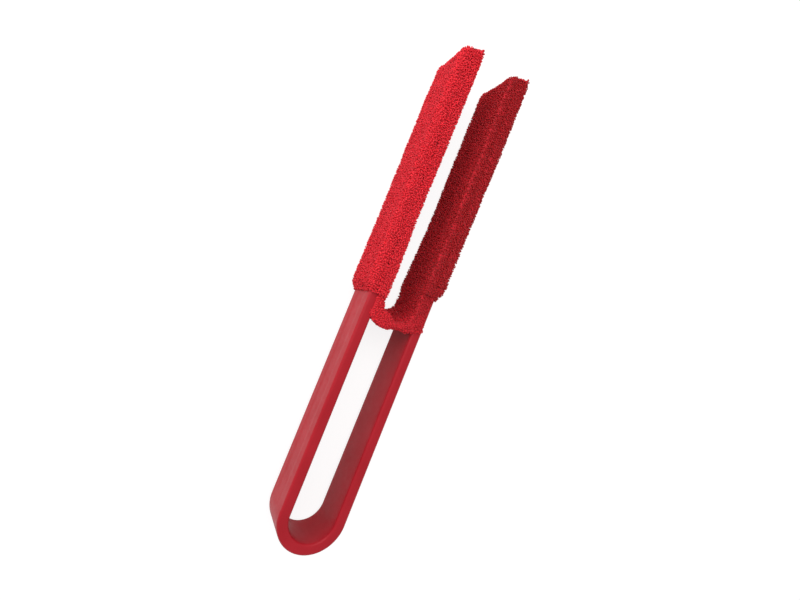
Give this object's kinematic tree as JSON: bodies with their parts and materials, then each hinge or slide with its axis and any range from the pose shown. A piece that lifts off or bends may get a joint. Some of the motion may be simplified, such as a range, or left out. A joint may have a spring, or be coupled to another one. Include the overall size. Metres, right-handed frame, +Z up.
{
  "type": "blind cleaning duster",
  "caption": "U-shaped spring tongs of moulded plastic whose two flat arms wear a two-legged terry sleeve for wiping both faces of a slat.",
  "frame": {"origin": "middle of the duster's length and spread, on the surface it lies on", "axes": "+Y along the arms from the bend to the tips, +X from the left arm to the right arm, +Z up from the surface, across the strip's width"},
  "size_m": [0.0382, 0.2408, 0.0257],
  "materials": {
    "plastic": "satin",
    "terry": "looped pile",
    "thread": "sewn thread"
  },
  "bodies": {
    "handle": {"handle_bend": "plastic"},
    "left_side": {"left_arm": "plastic", "left_outer_panel": "terry", "left_inner_panel": "terry", "left_mouth_hem": "terry", "left_crotch_half": "terry", "left_seam_thread": "thread", "left_hem_thread": "thread"},
    "right_side": {"right_arm": "plastic", "right_outer_panel": "terry", "right_inner_panel": "terry", "right_mouth_hem": "terry", "right_crotch_half": "terry", "right_seam_thread": "thread", "right_hem_thread": "thread"}
  },
  "joints": [
    {"name": "left_squeeze", "type": "hinge", "parent": "handle", "child": "left_side", "pos_m": [-0.01258, -0.10557, 0.01295], "axis": [0, 0, -1], "range_deg": [-1.5, 2.1], "stiffness_Nm_per_rad": 3.6, "deforming": ["left_crotch_half"]},
    {"name": "right_squeeze", "type": "hinge", "parent": "handle", "child": "right_side", "pos_m": [0.01258, -0.10557, 0.01295], "axis": [0, 0, 1], "range_deg": [-1.5, 2.1], "stiffness_Nm_per_rad": 3.6, "deforming": ["right_crotch_half"]}
  ],
  "couplings": [
    {"joint": "right_squeeze", "follows": "left_squeeze", "ratio": 1}
  ]
}
